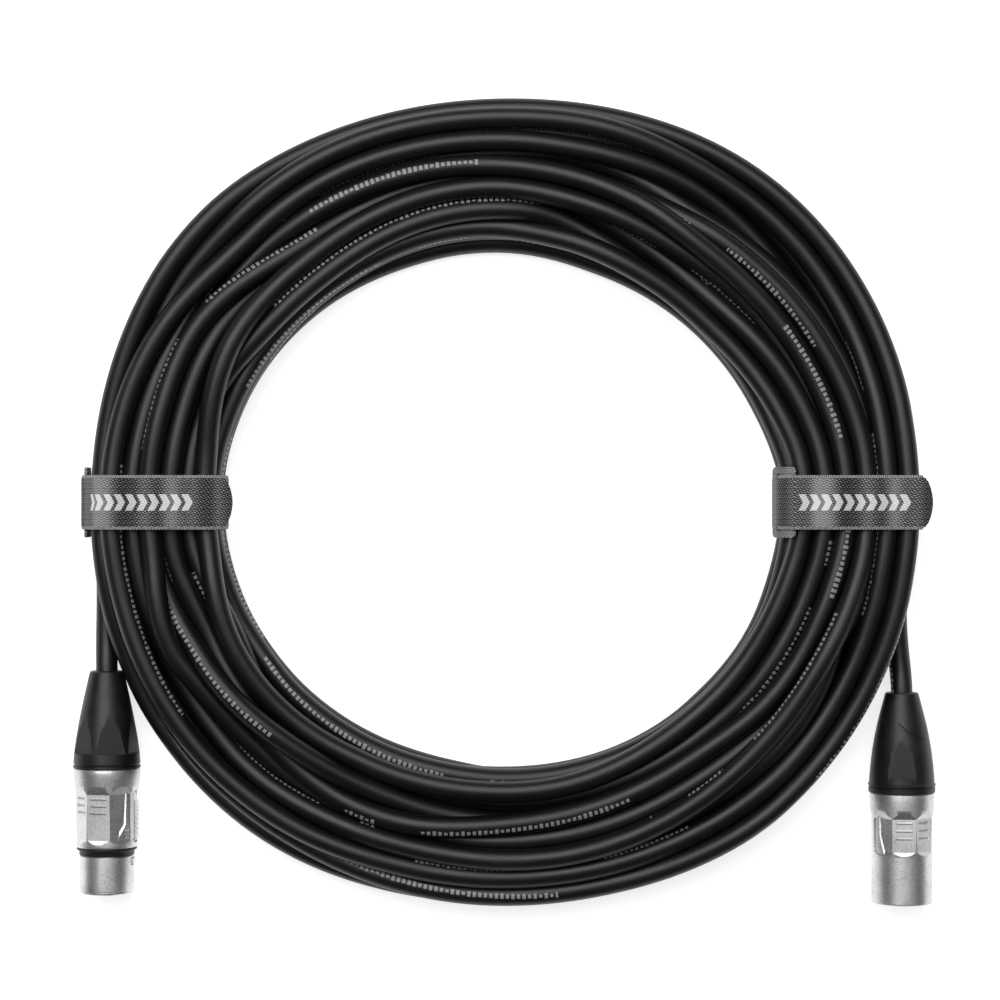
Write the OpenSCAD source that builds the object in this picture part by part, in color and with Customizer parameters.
// Microphone cable wound into a flat round coil, held by two hook-and-loop ties,
// with a socket connector on one end and a pin connector on the other.
// Millimetres. X to the right, Y up the coil, Z up. The coil lies on Z = 0 and
// its centre is the origin. Both connectors point along -Y and lie on the same surface.

/* [Coil] */
// Outer radius of the wound coil
coil_outer_r = 123; // [118:1:130]
// Width of the bundle of turns
bundle_w = 38; // [34:1:42]
// Height of the bundle of turns
bundle_h = 24; // [22:1:28]
// Corner radius of the bundle's section
bundle_corner_r = 9; // [6:1:10]
// Diameter of the cable
cable_d = 6.5; // [6:0.1:6.8]

/* [Ties] */
// Width of the woven strap
strap_w = 16; // [12:1:20]
// Thickness of the woven strap
strap_t = 1.3; // [1:0.1:1.5]
// Width of the slotted head
head_w = 21; // [20:1:26]
// Length of the slotted head
head_l = 11; // [10:0.5:13]

/* [Connectors] */
// Distance of each connector's axis from the coil's centre line
connector_x = 119.5; // [117:0.5:121]
// Radius of the widest collar, which lies on the table
collar_r = 10; // [9.8:0.1:10.2]
// Radius of the socket connector's nose
nose_r = 8.1; // [8:0.05:8.2]
// Outer radius of the pin connector's barrel
barrel_r = 9.1; // [9:0.05:9.3]
// Inner radius of the pin connector's barrel
barrel_bore_r = 8.3; // [8.25:0.05:8.4]
// Radius of a contact pin, and of the hole in a contact socket
contact_r = 1.2; // [1.15:0.05:1.25]

/* [Hidden] */
$fn = 64;

cable_r = cable_d / 2;
coil_inner_r = coil_outer_r - bundle_w;

// Gap between the strap and the bundle, which grows with the coil's own curve
strap_gap = 0.6;
// Gap between the two layers of a tie
layer_gap = 0.3;
// Gap between the band's lowest run and the table
floor_gap = 0.1;
// Height of the head's lower edge, and of the fold where the tail turns back
head_z = 6.5;
fold_z = 18.6;

// Places along each connector, measured from the cable's entry towards the mating end
female_entry_y = -51.3;
boot_l = 29.1;
thread_l = 6.5;
thread_r = 8.35;
thread_gap = 0.05;
handle_r = 9.0;
shell_bore_r = 7.3;
female_shoulder_z = 55.3;
// Start of the nose's plain wall, and how far it stands proud of the part by the catch
nose_z = 58.4;
nose_step = 0.2;
female_l = 66.6;
latch_slot_w = 5.2;
latch_w = 4.6;
latch_pivot_z = 37;
male_entry_y = -57.8;
male_boot_l = 28;
male_barrel_z = 49;
male_face_z = 50.6;
male_l = 63.2;

// Contact places: across and along the line from the axis towards the latch side
contact_xy = [[1.6, 3.8], [1.6, -3.8], [-3.6, 0]];

// ---------- helpers ----------

// Section of the bundle grown by d, in the plane of the tie: x away from the centre
module bundle_section(d) {
    r = bundle_corner_r + d;
    w = bundle_w + 2 * d;
    h = bundle_h + 2 * d;
    translate([coil_inner_r - d, -d]) {
        translate([r, 0]) square([w - 2 * r, h]);
        translate([0, r]) square([w, h - 2 * r]);
        for (x = [r, w - r]) {
            for (z = [r, h - r]) translate([x, z]) circle(r);
        }
    }
}

// Outside of the band round the bundle; its bottom run lies in the coil's relief
module band_outline() {
    intersection() {
        bundle_section(strap_gap + strap_t);
        translate([0, floor_gap]) square([200, 200]);
    }
}

// Extrudes a section drawn in X and Z so that it is centred on Y = 0
module along_y(w) {
    translate([0, w / 2, 0]) rotate([90, 0, 0]) linear_extrude(w) children();
}

// Moves a connector from its own axis to its place beside the coil
module place_female() {
    translate([-connector_x, female_entry_y, collar_r]) rotate([90, 0, 0]) children();
}

module place_male() {
    translate([connector_x, male_entry_y, collar_r]) rotate([90, 0, 0]) children();
}

// A closed tube swept along a list of points, with rings square to the local direction
function unit(v) = v / norm(v);
function ring_dir(p, i) = unit(p[min(i + 1, len(p) - 1)] - p[max(i - 1, 0)]);
function ring_side(d) = unit(cross(d, [0, 0, 1]));
function ring_points(p, i, r, sides) =
    let (d = ring_dir(p, i), s = ring_side(d), u = cross(s, d))
    [for (k = [0 : sides - 1]) p[i] + r * (cos(360 * k / sides) * s + sin(360 * k / sides) * u)];
module sweep_tube(p, r, sides) {
    n = len(p);
    points = [for (i = [0 : n - 1]) each ring_points(p, i, r, sides)];
    sides_faces = [
        for (i = [0 : n - 2])
        for (k = [0 : sides - 1])
        [i * sides + k, (i + 1) * sides + k, (i + 1) * sides + (k + 1) % sides, i * sides + (k + 1) % sides]
    ];
    first = [for (k = [0 : sides - 1]) k];
    last = [for (k = [sides - 1 : -1 : 0]) (n - 1) * sides + k];
    polyhedron(points, concat([first], sides_faces, [last]), convexity = 4);
}

// ---------- cable ----------

// Route of each free end: from under the bundle, rising to the connector's axis
tail_sides = 12;
tail_low = cable_r + 0.1;
female_tail_route = [
    [-120.3, -18, tail_low], [-120.3, -28, tail_low], [-120.2, -34, 4.4],
    [-120, -40, 6.6], [-119.7, -46, 8.9], [-119.5, -51.3, 10], [-119.5, -60, 10], [-119.5, -86, 10],
];
male_tail_route = [
    [118.7, -20, tail_low], [118.7, -33, tail_low], [118.8, -40, 4.3],
    [119, -46, 6.4], [119.3, -52, 8.8], [119.5, -57.8, 10], [119.5, -66, 10], [119.5, -90, 10],
];

// The wound turns as one solid of their outer shape, with a relief below each tie
module cable_coil() {
    relief_h = strap_t + 2 * layer_gap;
    color("#1b1b1d") difference() {
        rotate_extrude($fn = 180) bundle_section(0);
        translate([-200, -strap_w / 2 - 1, -1]) cube([400, strap_w + 2, relief_h + 1]);
        tail_channels();
    }
}

// Room in the bundle's lower outer edge for the two free ends
module tail_channels() {
    translate([-150, -60, -1]) cube([150 - 116, 42, 2 * cable_r + 1.4]);
    translate([115, -60, -1]) cube([35, 40, 2 * cable_r + 1.4]);
}

module female_cable_tail() {
    color("#1b1b1d") sweep_tube(female_tail_route, cable_r, tail_sides);
}

module male_cable_tail() {
    color("#1b1b1d") sweep_tube(male_tail_route, cable_r, tail_sides);
}

// ---------- ties ----------

// Strap: a closed band round the bundle. The section's X runs away from the coil's centre.
module strap_band() {
    along_y(strap_w) difference() {
        band_outline();
        difference() {
            bundle_section(strap_gap);
            translate([0, -10]) square([200, 10 + strap_t + floor_gap]);
        }
    }
}

// Slotted head: a wider plate on one side of the band, standing just outside it
module tie_head(x) {
    slot_w = strap_w + 0.8;
    translate([x, 0, head_z]) difference() {
        translate([0, -head_w / 2, 0]) cube([strap_t, head_w, head_l]);
        translate([-1, -slot_w / 2, head_l - 4.4]) cube([strap_t + 2, slot_w, 2.2]);
    }
}

// Tail: the part of the strap that folds back over the band and ends in a tongue.
// hinge_side 1 puts the fold on the outer side of the ring, -1 on the inner side.
module tie_tail(hinge_side) {
    inner_d = strap_gap + strap_t + layer_gap;
    mid_x = (coil_inner_r + coil_outer_r) / 2;
    tongue_r = strap_w / 2;
    far = bundle_w / 2 + 2.2;
    near = bundle_w / 2 + 10;
    intersection() {
        along_y(strap_w) difference() {
            bundle_section(inner_d + strap_t);
            bundle_section(inner_d);
        }
        union() {
            translate([mid_x, 0, 0]) {
                translate([-hinge_side * (far - tongue_r), 0, fold_z]) cylinder(h = 20, r = tongue_r);
                translate([hinge_side > 0 ? -(far - tongue_r) : -near, -strap_w, fold_z])
                    cube([far - tongue_r + near, 2 * strap_w, 20]);
            }
        }
    }
}

// The left bundle is the right one turned about the origin's Z axis by mirror
module on_left() { mirror([1, 0, 0]) children(); }

module left_tie_strap() {
    color("#6b6d6e") on_left() {
        strap_band();
        tie_head(coil_outer_r + strap_gap + strap_t);
    }
}

module left_tie_tail() {
    color("#7c7e7f") on_left() tie_tail(1);
}

module right_tie_strap() {
    color("#6b6d6e") {
        strap_band();
        tie_head(coil_inner_r - strap_gap - 2 * strap_t);
    }
}

module right_tie_tail() {
    color("#7c7e7f") tie_tail(-1);
}

// ---------- connector parts, drawn along their own axis ----------

// Rubber boot: a convex taper with a stepped cavity for the chuck and the bushing
module boot(length, tip_r, mid_r, mid_z) {
    rotate_extrude() polygon([
        [cable_r + 0.05, 0], [tip_r - 0.8, 0], [tip_r, 0.8], [mid_r, mid_z],
        [collar_r - 0.8, length - 9], [collar_r, length - 2], [collar_r, length],
        [thread_r + thread_gap, length], [thread_r + thread_gap, length - 2],
        [6.2, length - 2], [6.2, 15], [cable_r + 0.05, 13],
    ]);
}

// Threaded bushing that the boot is moulded on, screwed into the back of the shell
module bushing(length) {
    rotate_extrude() polygon([
        [5.3, length - 11], [6.15, length - 11], [6.15, length - 1.95], [thread_r, length - 1.95],
        [thread_r, length + thread_l - 1], [thread_r - 0.6, length + thread_l], [5.3, length + thread_l],
    ]);
}

// Collet that the bushing presses onto the jacket
module chuck(length) {
    difference() {
        rotate_extrude() polygon([
            [cable_r + 0.05, length - 12], [4.2, length - 12], [5.2, length - 9],
            [5.2, length + thread_l + 0.4], [6.6, length + thread_l + 0.4],
            [6.6, length + thread_l + 2.4], [cable_r + 0.05, length + thread_l + 2.4],
        ]);
        for (a = [0, 90]) rotate([0, 0, a]) translate([-6, -0.4, length - 13]) cube([12, 0.8, 12]);
    }
}

// Three cores from the stripped jacket to the contacts' solder cups
module cores(length, cup_z, flip) {
    start_z = length + 5.8;
    for (i = [0 : 2]) {
        goal = [flip * contact_xy[i][0], contact_xy[i][1], cup_z];
        from = [flip * contact_xy[i][0] * 0.34, contact_xy[i][1] * 0.34, start_z];
        v = goal - from;
        translate(from)
            rotate([0, acos(v[2] / norm(v)), atan2(v[1], v[0])])
            cylinder(h = norm(v), r = 0.7, $fn = 24);
    }
}

// ---------- socket connector ----------

contact_back_z = 46;
contact_front_z = 65.4;

module female_boot() {
    color("#222224") place_female() boot(boot_l, 5.1, 7.7, 12.3);
}

module female_bushing() {
    color("#2c2c2e") place_female() bushing(boot_l);
}

module female_chuck() {
    color("#d8d8d2") place_female() chuck(boot_l);
}

// Die-cast shell: handle, groove for the seal ring and round nose, with the latch's slot
module female_shell() {
    color("#b9b9b6") place_female() difference() {
        rotate_extrude() polygon([
            [thread_r + thread_gap, boot_l], [collar_r, boot_l], [collar_r, boot_l + 1.4], [handle_r, boot_l + 6],
            [handle_r, 52.4], [handle_r - 0.5, 53], [nose_r - 0.6, 53], [nose_r - 0.6, female_shoulder_z],
            [nose_r - nose_step, female_shoulder_z], [nose_r - nose_step, nose_z], [nose_r, nose_z],
            [nose_r, female_l - 0.5], [nose_r - 0.5, female_l], [shell_bore_r, female_l],
            [shell_bore_r, boot_l + thread_l + 0.4], [thread_r + thread_gap, boot_l + thread_l + 0.4],
        ]);
        translate([0, -latch_slot_w / 2, latch_pivot_z - 1.2]) cube([12, latch_slot_w, 15.6]);
        translate([0, -latch_slot_w / 2, 51]) cube([nose_r - 0.9 + 0.2, latch_slot_w, 7.2]);
        translate([0, -latch_slot_w / 2, 55.8]) cube([12, latch_slot_w, 2.4]);
        for (a = [-6, 138]) rotate([0, 0, 90 + a]) engraved_lines(handle_r, boot_l + 7);
    }
}

// Three short grip lines across the handle
module engraved_lines(r, z) {
    for (i = [0 : 2]) {
        rotate([0, 0, -15]) translate([0, 0, z + 2.1 * i])
            rotate_extrude(angle = 30) translate([r - 0.3, 0]) square([1, 0.7]);
    }
}

// Rubber ring between the handle and the nose
module female_seal_ring() {
    color("#141415") place_female() difference() {
        translate([0, 0, 53]) cylinder(h = female_shoulder_z - 53, r = nose_r + 0.5);
        translate([0, 0, 52]) cylinder(h = 5, r = nose_r - 0.6);
    }
}

// Plastic block that holds the three socket contacts
module female_insert() {
    color("#1e1e20") place_female() difference() {
        translate([0, 0, contact_back_z + 2]) cylinder(h = female_l - 0.4 - contact_back_z - 2, r = shell_bore_r - 0.05);
        for (c = contact_xy) translate([c[0], c[1], contact_back_z]) {
            cylinder(h = contact_front_z - contact_back_z, r = 1.75);
            cylinder(h = 30, r = contact_r + 0.25);
        }
        translate([4.6, -latch_slot_w / 2, contact_back_z]) cube([5, latch_slot_w, 13]);
    }
}

// Socket contact: a tube with a solder cup at the back
module female_contact(i) {
    c = contact_xy[i];
    color("#c9ccd0") place_female() translate([c[0], c[1], 0]) difference() {
        translate([0, 0, contact_back_z - 2.5]) cylinder(h = contact_front_z - contact_back_z + 2.4, r = 1.7);
        translate([0, 0, contact_back_z + 8]) cylinder(h = 20, r = contact_r);
        translate([0, 0, contact_back_z - 3]) cylinder(h = 2.5, r = 0.95);
    }
}

module female_contact_1() { female_contact(0); }
module female_contact_2() { female_contact(1); }
module female_contact_3() { female_contact(2); }

// Latch lever: a push tab on the handle and a catch at the root of the nose
module female_latch() {
    color("#c4c4c1") place_female() intersection() {
        along_y(latch_w) latch_side_view();
        union() {
            translate([0, 0, 30]) cylinder(h = 22, r = handle_r + 0.55);
            translate([0, 0, 50]) cylinder(h = 10, r = nose_r + 0.35);
        }
    }
}

// The lever from the side: X away from the axis, Y along the connector
module latch_side_view() {
    polygon([
        [6.9, latch_pivot_z - 0.8], [8.4, latch_pivot_z - 0.8], [8.6, 38.4], [10, 39.6], [10, 50.4], [8.6, 50.9],
        [7.1, 51.1], [7.1, 56.1], [9, 56.1], [9, 57.9], [5.9, 57.9], [5.9, 52.6], [7.2, 50], [7.2, 38.4], [6.9, 38.2],
    ]);
}

// Leaf spring under the push tab
module female_latch_spring() {
    color("#9a9da1") place_female() along_y(2.4) polygon([
        [4.65, 49.0], [4.9, 49.0], [4.9, 52.0], [6.9, 47.2], [7.1, 47.3], [5.0, 52.4], [4.65, 52.4],
    ]);
}

module female_wires() {
    color("#b8433a") place_female() cores(boot_l, contact_back_z - 2.4, 1);
}

// ---------- pin connector ----------

pin_back_z = 41;
pin_tip_z = 61.8;
// How much thicker a pin is inside the insert
root_step = 0.2;

module male_boot() {
    color("#222224") place_male() boot(male_boot_l, 5.2, 7.0, 9.4);
}

module male_bushing() {
    color("#2c2c2e") place_male() bushing(male_boot_l);
}

module male_chuck() {
    color("#d8d8d2") place_male() chuck(male_boot_l);
}

// Die-cast shell: handle and round barrel, with the hole that a mating latch snaps into
module male_shell() {
    color("#b9b9b6") place_male() difference() {
        rotate_extrude() polygon([
            [thread_r + thread_gap, male_boot_l], [collar_r, male_boot_l], [collar_r, male_boot_l + 2],
            [9.6, male_boot_l + 2.6], [9.3, male_barrel_z - 1], [barrel_r, male_barrel_z],
            [barrel_r, male_l - 0.4], [barrel_r - 0.4, male_l], [barrel_bore_r, male_l],
            [barrel_bore_r, 44], [shell_bore_r, 44], [shell_bore_r, male_boot_l + thread_l + 0.4],
            [thread_r + thread_gap, male_boot_l + thread_l + 0.4],
        ]);
        for (a = [6, -138]) rotate([0, 0, 90 + a]) engraved_lines(9.35, male_boot_l + 8);
    }
}

// Plastic block that holds the three pins, keyed for the mating latch
module male_insert() {
    color("#1e1e20") place_male() difference() {
        union() {
            translate([0, 0, 44]) cylinder(h = male_face_z - 44, r = barrel_bore_r - 0.05);
            translate([0, 0, pin_back_z + 2]) cylinder(h = 2, r = shell_bore_r - 0.05);
        }
        for (c = contact_xy) translate([-c[0], c[1], pin_back_z]) cylinder(h = 20, r = contact_r + root_step + 0.02);
    }
}

// Pin contact with a round tip and a solder cup
module male_pin(i) {
    c = contact_xy[i];
    color("#c9ccd0") place_male() translate([-c[0], c[1], 0]) difference() {
        union() {
            translate([0, 0, pin_back_z]) cylinder(h = male_face_z - pin_back_z, r = contact_r + root_step);
            translate([0, 0, pin_back_z]) cylinder(h = pin_tip_z - contact_r - pin_back_z, r = contact_r);
            translate([0, 0, pin_tip_z - contact_r]) sphere(contact_r);
        }
        translate([0, 0, pin_back_z - 1]) cylinder(h = 3.2, r = 0.85);
    }
}

module male_pin_1() { male_pin(0); }
module male_pin_2() { male_pin(1); }
module male_pin_3() { male_pin(2); }

module male_wires() {
    color("#b8433a") place_male() cores(male_boot_l, pin_back_z + 0.1, -1);
}

cable_coil();
female_cable_tail();
male_cable_tail();
left_tie_strap();
left_tie_tail();
right_tie_strap();
right_tie_tail();
female_boot();
female_bushing();
female_chuck();
female_shell();
female_seal_ring();
female_insert();
female_contact_1();
female_contact_2();
female_contact_3();
female_latch();
female_latch_spring();
female_wires();
male_boot();
male_bushing();
male_chuck();
male_shell();
male_insert();
male_pin_1();
male_pin_2();
male_pin_3();
male_wires();
